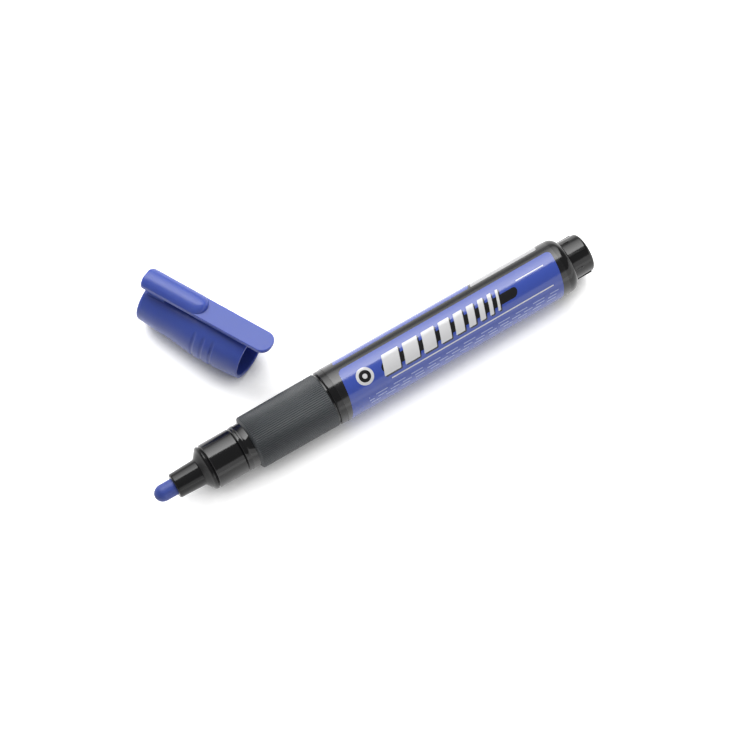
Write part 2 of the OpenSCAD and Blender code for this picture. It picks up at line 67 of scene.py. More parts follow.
barrel_low, barrel_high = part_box("barrel")
RIM = Vector((barrel_high.x, (barrel_low.y + barrel_high.y) / 2, (barrel_low.z + barrel_high.z) / 2))
TAIL_X, _, BARREL_R = span("barrel")
FILM_REAR_X, FILM_FRONT_X, FILM_R = span("label")
GRIP_REAR_X, GRIP_FRONT_X, GRIP_R = span("grip_sleeve")
SPIGOT_REAR_X, COLLAR_FRONT_X, PARTING_R = span("front_collar")
HOLDER_REAR_X, NOSE_FRONT_X, _ = span("nib_holder")
NIB_REAR_X, NIB_TIP_X, NIB_R = span("nib")
RETAINER_REAR_X, _, _ = span("valve_retainer")
SPRING_REAR_X, SPRING_FRONT_X, SPRING_R = span("valve_spring")
MOUNTS = {mount["name"]: mount for mount in frame["record"]["mounts"]}
COLLAR_R = MOUNTS["cap_seat"]["dims"]["r_mm"]

# Room between pieces that are pressed together, and the chamfer that leads one into the other
PRESS_GAP = 0.03
LEAD_IN = 0.2

# Barrel and tail post, with a ring of vertices part of the way along the long straight stretch
MIDDLE_X = -20
BARREL_WALL = 1.2
BARREL_RIM = 0.5
SHOULDER_X = -74.6
POST_X = -77
POST_R = 5.8
POST_LAND = 0.1
POST_DRAFT = 0.15
POST_RIM = 0.9
POST_RIB_W = 0.4
POST_RIB_H = 0.16
POST_RIB_LENGTHS = (5.2, 2.8)
POST_RIB_PAIRS = 4
POST_RIB_TURN = math.radians(11.5)
POST_RIB_EDGE = 0.12

# Printed film
FILM_GAP = 0.02
FILM_EDGE = 0.03

# Grip sleeve
GRIP_RIBS = 84
GRIP_RIB_CORNERS = 6
GRIP_RIB_DEPTH = 0.14
GRIP_FLANK_DEPTH = 0.105
GRIP_TAPER = 0.13
GRIP_CHAMFER = 0.6
GRIP_EDGE = 0.1
GRIP_BEVEL = 0.25

# Collar and nib holder
CORE_R = 6.2
COLLAR_BORE_R = 5.2
SPIGOT_BORE_R = 4.9
BEAD_X = 26.6
BEAD_W = 0.9
BEAD_H = 0.12
RING_GROOVE_X = 27.9
RING_GROOVE_W = 0.6
RING_GROOVE_DEPTH = 0.3
JOINT_W = 0.8
JOINT_DEPTH = 0.4
CONE_STEP = 0.8
CONE_ROUND_LEN = 1.15
CONE_LEN = 1.75
NOSE_REAR_R = 3.8
NOSE_FRONT_R = 3.55
NOSE_EDGE = 0.55
NIB_PLAY = 0.07
NIB_CHAMFER = 0.1
BULLET_LEN = 2.6

# Valve spring
WIRE_R = 0.225
SPRING_TURNS = 7

# Cap, measured from its closed end towards its mouth
CAP_LEN = 33.2
CAP_END_WALL = 1.8
CAP_END_R = 6.45
CAP_NECK_R = 6.8
CAP_MAX_R = 7.9
CAP_MOUTH_R = 7.3
CAP_NECK_AT = 7.5
CAP_MAX_AT = 21
CAP_RIM = 0.8
CAP_DOME = 0.35
MOUTH_EDGE = 0.18
MOUTH_CHAMFER = 0.3
SOCKET_R = 6.45
SOCKET_LEN = 13.85
CONE_BORE_R = 5.9
LINER_BORE_R = 5
LINER_END_X = 14.8
LINER_PLAY = 0.07
FINGER_GROOVES = (24.7, 21.8, 18.9)
FINGER_GROOVE_R = 0.7
FINGER_GROOVE_DEPTH = 0.28
FINGER_GROOVE_SPAN = 96
FINGER_GROOVE_FADE = 10
FINE_PITCH = 0.14
MOUTH_PITCH = 0.8
NECK_PITCH = 0.6

# Clip
CLIP_W = 6.7
CLIP_T = 1.35
CLIP_GAP = 0.85
CLIP_START_X = -0.8
CLIP_END_X = 39.6
CLIP_ROOT_R = 1.3
CLIP_TIP_R = 3
CLIP_EDGE = 0.22
CLIP_RIM = 0.08
BACK_LEN = 19.6
BACK_H = 1.7
BACK_TIP_R = 3.1
BACK_ROOT_EDGE = 0.8
BACK_TIP_EDGE = 1.5
BACK_PROUD = 0.006
BACK_START = 0.02
FOOT_X = 1.2
FOOT_LEN = 5.6
FOOT_W = 5
FOOT_SUNK = 1.2

# Edges that the unions leave shorter than this are merged away
SLIVER = 0.004

# The cap as it lies: turned on the table, its mouth a little up, its clip rolled off the top
CAP_TURN = 116.8
CAP_TILT = 1.3
CAP_ROLL = 10.5
CAP_LIFT = 0.006


# Modelling by hand

def activate(piece):
    bpy.ops.object.select_all(action="DESELECT")
    piece.select_set(True)
    bpy.context.view_layer.objects.active = piece


def start_ring(name, radius, sides=SIDES):
    """A ring of vertices round Z, open for editing with all of it selected."""
    bpy.ops.object.select_all(action="DESELECT")
    bpy.ops.mesh.primitive_circle_add(vertices=sides, radius=radius * MM, fill_type="NOTHING")
    ring = bpy.context.object
    ring.name = ring.data.name = name
    bpy.ops.object.mode_set(mode="EDIT")
    bpy.ops.mesh.select_all(action="SELECT")
    return ring


def draw_out(stations):
    """Draws the selected ring on along Z, from the first station (distance, radius) to each of the others."""
    at, radius = stations[0]
    for to, to_radius in stations[1:]:
        bpy.ops.mesh.extrude_region_move(TRANSFORM_OT_translate={"value": (0, 0, (to - at) * MM)})
        scale = to_radius / radius
        bpy.ops.transform.resize(value=(scale, scale, 1), center_override=(0, 0, to * MM))
        at, radius = to, to_radius


def select_only(piece, kind, test):
    """Selects the vertices, edges or faces of a piece in edit mode that pass a test, and no others."""
    bpy.ops.mesh.select_all(action="DESELECT")
    mesh = bmesh.from_edit_mesh(piece.data)
    for element in getattr(mesh, kind):
        if test(element):
            element.select_set(True)
    bmesh.update_edit_mesh(piece.data)


def make_block(name, size, location):
    """A block on the bench, its size and place in millimetres."""
    bpy.ops.object.select_all(action="DESELECT")
    bpy.ops.mesh.primitive_cube_add(size=1)
    block = bpy.context.object
    block.name = block.data.name = name
    block.scale = [value * MM for value in size]
    block.location = [value * MM for value in location]
    bpy.ops.object.transform_apply(location=True, rotation=True, scale=True)
    return block


def close_up():
    """Merges what meets, fills what is open, turns the faces outwards and leaves edit mode."""
    bpy.ops.mesh.select_all(action="SELECT")
    bpy.ops.mesh.remove_doubles(threshold=0.0005 * MM)
    bpy.ops.mesh.fill_holes(sides=0)
    bpy.ops.mesh.normals_make_consistent(inside=False)
    bpy.ops.object.mode_set(mode="OBJECT")


def turned(name, stations, sides=SIDES):
    """A turned piece on the bench, its axis along Z. Where the stations end as they began, it is a ring."""
    at, radius = stations[0]
    piece = start_ring(name, radius, sides)
    bpy.ops.transform.translate(value=(0, 0, at * MM))
    draw_out(stations)
    close_up()
    return piece


def fillet(x, r, radius, start, end, steps=6):
    """Stations along a quarter or less of a round edge, with its centre at x and r, from start to end degrees."""
    angles = [math.radians(start + (end - start) * i / steps) for i in range(steps + 1)]
    return [(x + radius * math.cos(a), r + radius * math.sin(a)) for a in angles]


def over_bead(x, r, width, height, steps=8):
    """Stations over a low round bead, with its middle at x."""
    half = width / 2
    bend = (half * half + height * height) / (2 * height)
    places = [half * (2 * i / steps - 1) for i in range(steps + 1)]
    return [(x + along, r + math.sqrt(bend * bend - along * along) - bend + height) for along in places]


def place(piece, matrix):
    """Moves a piece from the bench to its place and applies that, so that its object sits at the origin."""
    activate(piece)
    piece.matrix_world = matrix
    bpy.ops.object.transform_apply(location=True, rotation=True, scale=True)


def unite(piece, other):
    """Unites a piece with another, which is used up."""
    modifier = piece.modifiers.new(other.name, "BOOLEAN")
    modifier.operation = "UNION"
    modifier.solver = "EXACT"
    modifier.object = other
    activate(piece)
    bpy.ops.object.modifier_apply(modifier=modifier.name)
    bpy.data.objects.remove(other)


ON_MARKER = Matrix.Translation(RIM) @ Matrix.Rotation(math.pi / 2, 4, "Y")


def finished(piece, finish, body, node, matrix=ON_MARKER, sharp=32, wide_flats=True):
    """Puts a piece in place, smooths it, gives it its finish, hangs it on its body and hides the CAD node that it
    stands for.

    Edges bent by more than sharp degrees stay sharp. With wide_flats the larger faces lead the smoothing, so
    that a long face is lit evenly up to the small bevels at its ends."""
    place(piece, matrix)
    bpy.ops.object.shade_smooth_by_angle(angle=math.radians(sharp))
    if wide_flats:
        modifier = piece.modifiers.new("even_flats", "WEIGHTED_NORMAL")
        modifier.keep_sharp = True
        bpy.ops.object.modifier_apply(modifier=modifier.name)
    piece.data.materials.clear()
    piece.data.materials.append(finish)
    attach(piece, body)
    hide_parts(node)


# Finishes

class Finish:
    """A material whose nodes take numbers, colours or other nodes' outputs."""

    def __init__(self, name, color, roughness, **settings):
        self.material = bpy.data.materials.new(name)
        self.material.use_nodes = True
        self.nodes = self.material.node_tree.nodes
        self.links = self.material.node_tree.links
        self.shader = self.nodes["Principled BSDF"]
        self.shader.inputs["Base Color"].default_value = (*color, 1)
        self.shader.inputs["Roughness"].default_value = roughness
        for socket, value in settings.items():
            self.shader.inputs[socket.replace("_", " ")].default_value = value

    def node(self, kind, *values, output=0, **settings):
        node = self.nodes.new("ShaderNode" + kind)
        for name, value in settings.items():
            setattr(node, name, value)
        for socket, value in zip(node.inputs, values):
            self.feed(socket, value)
        return node.outputs[output]

    def feed(self, socket, value):
        if isinstance(value, bpy.types.NodeSocket):
            self.links.new(value, socket)
        elif value is not None:
            socket.default_value = value

    def math(self, operation, *values, clamp=False):
        return self.node("Math", *values, operation=operation, use_clamp=clamp)

    def place(self, scale=(1, 1, 1), centre=(0, 0, 0)):
        """Object coordinates, measured from a centre and stretched."""
        centred = self.node("VectorMath", self.node("TexCoord", output=3), centre, operation="SUBTRACT")
        return self.node("VectorMath", centred, scale, operation="MULTIPLY")

    def noise(self, scale, detail=3, stretch=(1, 1, 1)):
        return self.node("TexNoise", self.place(stretch), None, scale, detail)

    def between(self, factor, low, high):
        """A number that runs from low to high as the factor runs over the values that noise takes."""
        return self.node("MapRange", factor, 0.1, 0.9, low, high)

    def blend(self, factor, under, over):
        """One colour over another, by a mask."""
        mix = self.nodes.new("ShaderNodeMix")
        mix.data_type = "RGBA"
        self.feed(mix.inputs["Factor"], factor)
        colors = [socket for socket in mix.inputs if socket.type == "RGBA"]
        for socket, value in zip(colors, (under, over)):
            self.feed(socket, (*value, 1) if isinstance(value, tuple) else value)
        return next(socket for socket in mix.outputs if socket.type == "RGBA")

    def bump(self, height, distance, strength=1.0):
        """Raises the surface by a height of 0 to 1 times a distance in millimetres."""
        bump = self.nodes.new("ShaderNodeBump")
        bump.inputs["Strength"].default_value = strength
        bump.inputs["Distance"].default_value = distance * MM
        self.links.new(height, bump.inputs["Height"])
        self.links.new(bump.outputs["Normal"], self.shader.inputs["Normal"])


RUB_SCALE = 240


def moulded(name, color, roughness, spread, grain, grain_depth, **settings):
    """Moulded plastic: a fine grain and a gloss that varies a little where hands have rubbed it.

    A gloss stays on one side of 0.274 over its whole range: the denoiser takes smoother ones for mirrors."""
    finish = Finish(name, color, roughness, **settings)
    rub = finish.noise(RUB_SCALE, 2)
    gloss = finish.between(rub, roughness - 1.5 * spread, roughness + 1.5 * spread)
    finish.feed(finish.shader.inputs["Roughness"], gloss)
    finish.bump(finish.noise(grain, 2), grain_depth)
    return finish.material


def fibre(name, color):
    """Pressed fibre soaked with paint: streaks along the nib, painted shade darkening the low streaks between the
    fibres, wet all over.
    """
    finish = Finish(name, color, 0.5, Sheen_Weight=0.1, Coat_Weight=0.06, Coat_Roughness=0.35)
    streak = finish.noise(5200, 5, (0.16, 1, 1))
    # Painted shade: the low streaks, which the bump sinks between the fibres, take a darker copy of the colour.
    deep = tuple(channel * 0.62 for channel in color)
    base = finish.blend(finish.between(streak, -0.3, 1.3), deep, color)
    finish.feed(finish.shader.inputs["Base Color"], base)
    finish.feed(finish.shader.inputs["Roughness"], finish.between(streak, 0.58, 0.42))
    finish.bump(streak, 0.05, 0.7)
    return finish.material


def metal(name, color, roughness):
    """Bare metal with fine marks."""
    finish = Finish(name, color, roughness, Metallic=1.0)
    marks = finish.noise(4000)
    finish.feed(finish.shader.inputs["Roughness"], finish.between(marks, roughness * 0.8, roughness * 1.3))
    finish.bump(marks, 0.004)
    return finish.material


# The print is generic: fields of colour, a ring, slanted bars on a dark band, rules and dashes
BLACK_INK = (0.006, 0.006, 0.007)
BLUE_INK = (0.042, 0.080, 0.40)
SILVER_INK = (0.66, 0.66, 0.67)
# The far field is silver print; its ink is a darker copy of the silver ink, painted shade that holds down the
# highlight on that side.
SHADED_FIELD_INK = (0.40, 0.40, 0.41)
PALE_INK = (0.30, 0.36, 0.64)
FILM_GLOSS = (0.12, 0.27)
INK_EDGE = 0.05
PANEL_SLANT = 0.11
BAR_SLANT = 0.34

# Patches are start, end, low edge, high edge and corner radius
PANEL = (4.7, 72.6, -2.75, 24, 1.5)
FAR_PANEL = (3.2, 46.5, -19, -5.7, 0.5)
FAR_FIELD = (47.2, 68.5, -19, -5.7, 0.4)
BAND = (16.6, 60, 1.5, 4.2, 1.3)
RULES = ((17, 69, 6.5, 6.85, 0.17), (60, 69, 0.2, 0.5, 0.15))

# Bars are start and length
BARS = ((17.2, 5.2), (23.8, 4.6), (29.8, 4.0), (35.2, 3.4), (40.0, 2.8),
        (44.2, 2.2), (47.8, 1.7), (50.9, 1.2), (53.5, 0.8))
BAR_LOW, BAR_HIGH = -0.3, 5.3
BAR_CORNER = 0.2
SHADE_SHIFT = 0.42

RING_AT = (10.6, 2.5)
RING_R, HOLE_R, DOT_R = 2.5, 1.7, 0.7

# Rows of dashes are low edge, pitch and the share of the pitch that is inked
DASH_ROWS = ((8.6, 5.6, 0.66), (9.7, 3.9, 0.7), (10.8, 4.7, 0.6))
DASH_START, DASH_END = 9, 70
DASH_H = 0.32
DASH_CORNER = 0.15


class PrintedFilm(Finish):
    """The label: places are millimetres behind the barrel's rim and round the film from its top line."""

    def __init__(self):
        super().__init__("label_print", BLACK_INK, FILM_GLOSS[0], Coat_Weight=0.35, Coat_Roughness=0.08)
        split = self.nodes.new("ShaderNodeSeparateXYZ")
        self.feed(split.inputs[0], self.place(centre=tuple(RIM)))
        x, y, z = split.outputs
        self.behind = self.math("MULTIPLY", x, -1 / MM)
        self.round_film = self.math("MULTIPLY", self.math("ARCTAN2", y, z), FILM_R)
        self.sheet = self.node("CombineXYZ", self.behind, self.round_film, 0.0)
        self.leaning_panel = self.leaning(PANEL_SLANT)
        self.leaning_bars = self.leaning(BAR_SLANT)

    def leaning(self, slant):
        """The film's places, sheared so that a patch leans by a slant."""
        along = self.math("MULTIPLY_ADD", self.round_film, slant, self.behind)
        return self.node("CombineXYZ", along, self.round_film, 0.0)

    def inked(self, distance):
        """A mask that is 1 where the distance to a shape's outline, in millimetres, is below zero."""
        return self.math("SUBTRACT", 0.5, self.math("DIVIDE", distance, INK_EDGE), clamp=True)

    def patch(self, start, end, low, high, corner, sheet=None):
        """A rounded rectangle on the film."""
        middle = ((start + end) / 2, (low + high) / 2, 0)
        inner = ((end - start) / 2 - corner, (high - low) / 2 - corner, 0)
        away = self.node("VectorMath", sheet or self.sheet, middle, operation="SUBTRACT")
        away = self.node("VectorMath", away, operation="ABSOLUTE")
        away = self.node("VectorMath", away, inner, operation="SUBTRACT")
        away = self.node("VectorMath", away, (0, 0, 0), operation="MAXIMUM")
        length = self.node("VectorMath", away, operation="LENGTH", output=1)
        return self.inked(self.math("SUBTRACT", length, corner))

    def disc(self, at, radius):
        away = self.node("VectorMath", self.sheet, (*at, 0), operation="SUBTRACT")
        length = self.node("VectorMath", away, operation="LENGTH", output=1)
        return self.inked(self.math("SUBTRACT", length, radius))

    def either(self, masks):
        joined = masks[0]
        for mask in masks[1:]:
            joined = self.math("MAXIMUM", joined, mask)
        return joined

    def dashes(self, row, pitch, share):
        """A broken rule: strokes of one length at a steady pitch."""
        turn = self.math("FRACT", self.math("DIVIDE", self.behind, pitch))
        strokes = self.math("LESS_THAN", turn, share)
        return self.math("MULTIPLY", strokes, self.patch(DASH_START, DASH_END, row, row + DASH_H, DASH_CORNER))

    def bars(self, shift):
        """The slanted bars, or their shade where they are shifted."""
        sides = (BAR_LOW + shift, BAR_HIGH + shift, BAR_CORNER, self.leaning_bars)
        return self.either([self.patch(start + shift, start + length + shift, *sides) for start, length in BARS])

    def print_it(self):
        """Lays the inks over each other, from the fields of colour up, and makes the film a little uneven."""
        blue = self.either([self.patch(*PANEL, self.leaning_panel), self.patch(*FAR_PANEL, self.leaning_bars)])
        # The far silver field gets the darker ink: painted shade against the highlight there.
        shaded_silver_field = self.patch(*FAR_FIELD, self.leaning_bars)
        band = self.patch(*BAND, self.leaning_bars)
        ring, hole, dot = (self.disc(RING_AT, radius) for radius in (RING_R, HOLE_R, DOT_R))
        silver = self.either([self.bars(0), ring, *(self.patch(*rule) for rule in RULES)])
        dashes = self.either([self.dashes(*row) for row in DASH_ROWS])
        shade = self.either([self.bars(SHADE_SHIFT), band])
        color = BLACK_INK
        for mask, ink in ((blue, BLUE_INK), (shaded_silver_field, SHADED_FIELD_INK), (dashes, PALE_INK), (shade, BLACK_INK),
                          (silver, SILVER_INK), (hole, BLACK_INK), (dot, SILVER_INK)):
            color = self.blend(mask, color, ink)
        self.feed(self.shader.inputs["Base Color"], color)
        rub = self.noise(RUB_SCALE, 2)
        self.feed(self.shader.inputs["Roughness"], self.between(rub, *FILM_GLOSS))
        self.bump(self.noise(420, 2), 0.006)
        return self.material


black_plastic = moulded("black_plastic", (0.0055, 0.0055, 0.006), 0.13, 0.025, 1500, 0.0012)
holder_plastic = moulded("holder_plastic", (0.009, 0.009, 0.0095), 0.17, 0.03, 1500, 0.0015,
                         Specular_IOR_Level=0.32)
grip_plastic = moulded("grip_plastic", (0.030, 0.035, 0.040), 0.355, 0.05, 3600, 0.006)
cap_plastic = moulded("cap_plastic", (0.062, 0.102, 0.42), 0.32, 0.03, 1500, 0.002, Specular_IOR_Level=0.42,
                      Subsurface_Weight=0.5, Subsurface_Radius=(0.4, 0.5, 1), Subsurface_Scale=0.0025)
natural_plastic = moulded("natural_plastic", (0.66, 0.65, 0.61), 0.45, 0.06, 3000, 0.006, Subsurface_Weight=0.1)
liner_plastic = moulded("liner_plastic", (0.62, 0.62, 0.59), 0.5, 0.05, 3000, 0.006)
seal_rubber = moulded("seal_rubber", (0.03, 0.03, 0.031), 0.65, 0.06, 3800, 0.01)
nib_fibre = fibre("nib_fibre", (0.040, 0.078, 0.40))
spring_steel = metal("spring_steel", (0.62, 0.63, 0.65), 0.28)
ball_steel = metal("ball_steel", (0.66, 0.66, 0.68), 0.12)
label_print = PrintedFilm().print_it()


# Pieces of the marker

def make_barrel():
    """Barrel, shoulder and tail post in one moulding, hollow as the real one is."""
    post_end_r = POST_R - POST_DRAFT
    bore_end_x = SHOULDER_X + BARREL_WALL / 2
    seam_r = POST_R + POST_LAND
    shoulder_len, shoulder_h = SHOULDER_X - POST_X, BARREL_R - seam_r
    turns = [math.radians(90 * i / 12) for i in range(13)]
    shoulder = [(SHOULDER_X - shoulder_len * math.cos(a), seam_r + shoulder_h * math.sin(a)) for a in turns]
    outside = fillet(TAIL_X + POST_RIM, post_end_r - POST_RIM, POST_RIM, 180, 90)
    outside += [(POST_X, POST_R), *shoulder]
    outside += [(MIDDLE_X, BARREL_R), *fillet(-BARREL_RIM, BARREL_R - BARREL_RIM, BARREL_RIM, 90, 0)]
    bore_r, post_bore_r = BARREL_R - BARREL_WALL, POST_R - BARREL_WALL
    inside = [(0, bore_r), (bore_end_x, bore_r), (bore_end_x, post_bore_r), (TAIL_X + BARREL_WALL, post_bore_r)]
    barrel = turned("barrel_shell", outside + inside)
    for i in range(2 * POST_RIB_PAIRS):
        rib = post_rib(POST_RIB_LENGTHS[i % 2])
        place(rib, Matrix.Rotation(math.pi * i / POST_RIB_PAIRS - POST_RIB_TURN, 4, "Z"))
        unite(barrel, rib)
    finished(barrel, black_plastic, "marker_body", "barrel")


def post_rib(length):
    """One friction rib on the bench: a bar along Z that stands out towards X, with its upper edges rounded.

    It reaches into the post deep enough to meet it at its narrow end too."""
    sunk = POST_DRAFT + POST_RIB_H
    rib = make_block("post_rib", (sunk + POST_RIB_H, POST_RIB_W, length),
                     (POST_R + (POST_RIB_H - sunk) / 2, 0, POST_X - length / 2))
    bpy.ops.object.mode_set(mode="EDIT")
    select_only(rib, "edges", lambda edge: all(vertex.co.x > POST_R * MM for vertex in edge.verts))
    bpy.ops.mesh.bevel(offset=POST_RIB_EDGE * MM, segments=3, affect="EDGES")
    bpy.ops.object.mode_set(mode="OBJECT")
    return rib


def make_label():
    """The film, wrapped once round the barrel."""
    inner, edge_r = BARREL_R + FILM_GAP, FILM_R - FILM_EDGE
    stations = [(FILM_REAR_X, inner), (FILM_REAR_X, edge_r), (FILM_REAR_X + FILM_EDGE, FILM_R),
                (MIDDLE_X, FILM_R), (FILM_FRONT_X - FILM_EDGE, FILM_R), (FILM_FRONT_X, edge_r),
                (FILM_FRONT_X, inner), (FILM_REAR_X, inner)]
    label = turned("label_film", stations)
    finished(label, label_print, "marker_body", "label")


def make_grip():
    """Sleeve with fine ribs: the valleys are drawn in on the first ring, and the ring is then drawn out."""
    grip = start_ring("grip_ribbed_sleeve", GRIP_R, GRIP_RIBS * GRIP_RIB_CORNERS)
    for low_corners, depth in (((0,), GRIP_RIB_DEPTH), ((1, GRIP_RIB_CORNERS - 1), GRIP_FLANK_DEPTH)):
        select_only(grip, "verts", lambda vertex: vertex.index % GRIP_RIB_CORNERS in low_corners)
        scale = 1 - depth / GRIP_R
        bpy.ops.transform.resize(value=(scale, scale, 1), center_override=(0, 0, 0))
    bpy.ops.mesh.select_all(action="SELECT")
    front_r = GRIP_R - GRIP_TAPER
    bore_r = CORE_R + PRESS_GAP
    chamfer_x = GRIP_FRONT_X - GRIP_CHAMFER
    edge_r = COLLAR_R + GRIP_EDGE
    stations = [(GRIP_REAR_X, GRIP_R - GRIP_BEVEL), (GRIP_REAR_X + GRIP_BEVEL * 0.3, GRIP_R - GRIP_BEVEL * 0.3),
                (GRIP_REAR_X + GRIP_BEVEL, GRIP_R), (chamfer_x - 0.1, front_r), (chamfer_x + 0.1, front_r - 0.12),
                (GRIP_FRONT_X - 0.1, edge_r + 0.1), (GRIP_FRONT_X, edge_r), (GRIP_FRONT_X, bore_r),
                (GRIP_REAR_X, bore_r), (GRIP_REAR_X, GRIP_R - GRIP_BEVEL)]
    scale = stations[0][1] / GRIP_R
    bpy.ops.transform.translate(value=(0, 0, GRIP_REAR_X * MM))
    bpy.ops.transform.resize(value=(scale, scale, 1), center_override=(0, 0, GRIP_REAR_X * MM))
    draw_out(stations)
    close_up()
    finished(grip, grip_plastic, "marker_body", "grip_sleeve", sharp=50, wide_flats=False)


def make_collar():
    """Spigot, parting flange, core and the glossy collar with its snap bead and V-shaped groove."""
    bevel_x = COLLAR_FRONT_X - JOINT_W / 2
    groove_rear_x, groove_front_x = RING_GROOVE_X - RING_GROOVE_W / 2, RING_GROOVE_X + RING_GROOVE_W / 2
    spigot_r = BARREL_R - BARREL_WALL - PRESS_GAP
    spigot = [(SPIGOT_REAR_X, SPIGOT_BORE_R), (SPIGOT_REAR_X, spigot_r - LEAD_IN),
              (SPIGOT_REAR_X + LEAD_IN, spigot_r), (0, spigot_r)]
    core = [(0, PARTING_R), (GRIP_REAR_X, PARTING_R), (GRIP_REAR_X, CORE_R), (GRIP_FRONT_X, CORE_R)]
    groove = [(groove_rear_x, COLLAR_R), (RING_GROOVE_X, COLLAR_R - RING_GROOVE_DEPTH), (groove_front_x, COLLAR_R)]
    front = [(bevel_x, COLLAR_R), (COLLAR_FRONT_X, COLLAR_R - JOINT_DEPTH), (COLLAR_FRONT_X, COLLAR_BORE_R)]
    bore = [(RETAINER_REAR_X, COLLAR_BORE_R), (RETAINER_REAR_X, SPIGOT_BORE_R), (SPIGOT_REAR_X, SPIGOT_BORE_R)]
    bead = over_bead(BEAD_X, COLLAR_R, BEAD_W, BEAD_H)
    stations = [*spigot, *core, (GRIP_FRONT_X, COLLAR_R), *bead, *groove, *front, *bore]
    collar = turned("front_collar_shell", stations)
    finished(collar, black_plastic, "marker_body", "front_collar")


def make_nib_holder():
    """Rounded edge, steep cone and slim nose, with the spigot that the collar holds."""
    foot_r = COLLAR_R - CONE_STEP
    foot_x = COLLAR_FRONT_X + CONE_ROUND_LEN
    joint_x = COLLAR_FRONT_X + JOINT_W / 2
    spigot_r = COLLAR_BORE_R - PRESS_GAP
    bore_r = NIB_R + NIB_PLAY
    rounded = [(joint_x, COLLAR_R - 0.06), (joint_x + 0.35, COLLAR_R - 0.11), (joint_x + 0.62, COLLAR_R - 0.25),
               (foot_x + 0.1, foot_r + 0.3), (foot_x + 0.27, foot_r), (foot_x + 0.38, foot_r - 0.13)]
    cone_top = foot_x + CONE_LEN
    spigot = [(HOLDER_REAR_X, bore_r), (HOLDER_REAR_X, spigot_r - LEAD_IN), (HOLDER_REAR_X + LEAD_IN, spigot_r),
              (COLLAR_FRONT_X, spigot_r), (COLLAR_FRONT_X, COLLAR_R - JOINT_DEPTH)]
    nose_foot = [(cone_top - 0.25, NOSE_REAR_R + 0.25), (cone_top - 0.05, NOSE_REAR_R + 0.07),
                 (cone_top + 0.2, NOSE_REAR_R)]
    edge_x, edge_r = NOSE_FRONT_X - NOSE_EDGE, NOSE_FRONT_R - NOSE_EDGE
    nose_edge = [(edge_x, NOSE_FRONT_R), *fillet(edge_x, edge_r, NOSE_EDGE, 80, 10, 4),
                 (NOSE_FRONT_X, edge_r - 0.05)]
    bore = [(NOSE_FRONT_X, bore_r + 0.1), (NOSE_FRONT_X - 0.1, bore_r), (HOLDER_REAR_X, bore_r)]
    stations = [*spigot, *rounded, *nose_foot, *nose_edge, *bore]
    holder = turned("nib_holder_shell", stations)
    finished(holder, holder_plastic, "marker_body", "nib_holder")


def make_nib():
    """Fibre nib with a bullet end that is blunt at its very tip."""
    bullet_x = NIB_TIP_X - BULLET_LEN
    turns = [math.radians(87.5 * i / 16) for i in range(17)]
    stations = [(NIB_REAR_X, NIB_R - NIB_CHAMFER), (NIB_REAR_X + NIB_CHAMFER, NIB_R)]
    stations += [(bullet_x + BULLET_LEN * math.sin(a), NIB_R * math.cos(a)) for a in turns]
    nib = turned("nib_bullet", stations, sides=96)
    finished(nib, nib_fibre, "nib_unit", "nib")


def make_spring():
    """Coil spring of the valve, one wire wound round the stem, drawn at rest on the marker's body."""
    spring = start_ring("valve_coil_spring", WIRE_R, sides=12)
    bpy.ops.transform.rotate(value=math.pi / 2, orient_axis="X")
    bpy.ops.transform.translate(value=((SPRING_R - WIRE_R) * MM, 0, (SPRING_REAR_X + WIRE_R) * MM))
    bpy.ops.object.mode_set(mode="OBJECT")
    winding = spring.modifiers.new("winding", "SCREW")
    winding.steps = winding.render_steps = 32
    winding.iterations = SPRING_TURNS
    length = SPRING_FRONT_X - SPRING_REAR_X
    winding.screw_offset = (length - 2 * WIRE_R) / SPRING_TURNS * MM
    bpy.ops.object.modifier_apply(modifier=winding.name)
    bpy.ops.object.mode_set(mode="EDIT")
    close_up()
    finished(spring, spring_steel, "marker_body", "valve_spring")
    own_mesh(spring)


# Pieces of the cap: on the bench, X runs to the mouth and Z to the clip

def swelling_r(x):
    """Radius of the cap's body between its neck and its mouth."""
    if x > CAP_MAX_AT:
        return CAP_MAX_R - (CAP_MAX_R - CAP_MOUTH_R) * ((x - CAP_MAX_AT) / (CAP_LEN - CAP_MAX_AT)) ** 2
    u = max(0, (x - CAP_NECK_AT) / (CAP_MAX_AT - CAP_NECK_AT))
    return CAP_NECK_R + (CAP_MAX_R - CAP_NECK_R) * (1 - math.cos(math.pi * u)) / 2


def press_in_grooves(body):
    """Presses the finger grooves into both sides of the body, where its rings lie close together."""
    half_span = FINGER_GROOVE_SPAN / 2
    centre_r = FINGER_GROOVE_R - FINGER_GROOVE_DEPTH
    reach = math.sqrt(FINGER_GROOVE_R ** 2 - centre_r ** 2)
    rings = {}
    mesh = bmesh.from_edit_mesh(body.data)
    for vertex in mesh.verts:
        x = vertex.co.z / MM
        r = math.hypot(vertex.co.x, vertex.co.y) / MM
        near = min(abs(x - groove) for groove in FINGER_GROOVES)
        off_side = abs(90 - abs(math.degrees(math.atan2(vertex.co.y, vertex.co.x))))
        if r < SOCKET_R + 0.5 or near >= reach or off_side >= half_span:
            continue
        depth = math.sqrt(FINGER_GROOVE_R ** 2 - near ** 2) - centre_r
        depth *= min(1, (half_span - off_side) / FINGER_GROOVE_FADE)
        rings.setdefault((round(x, 3), round(r, 3), round(depth, 4)), set()).add(vertex.index)
    for (x, r, depth), indices in rings.items():
        select_only(body, "verts", lambda vertex: vertex.index in indices)
        scale = (r - depth) / r
        bpy.ops.transform.resize(value=(scale, scale, 1), center_override=(0, 0, x * MM))


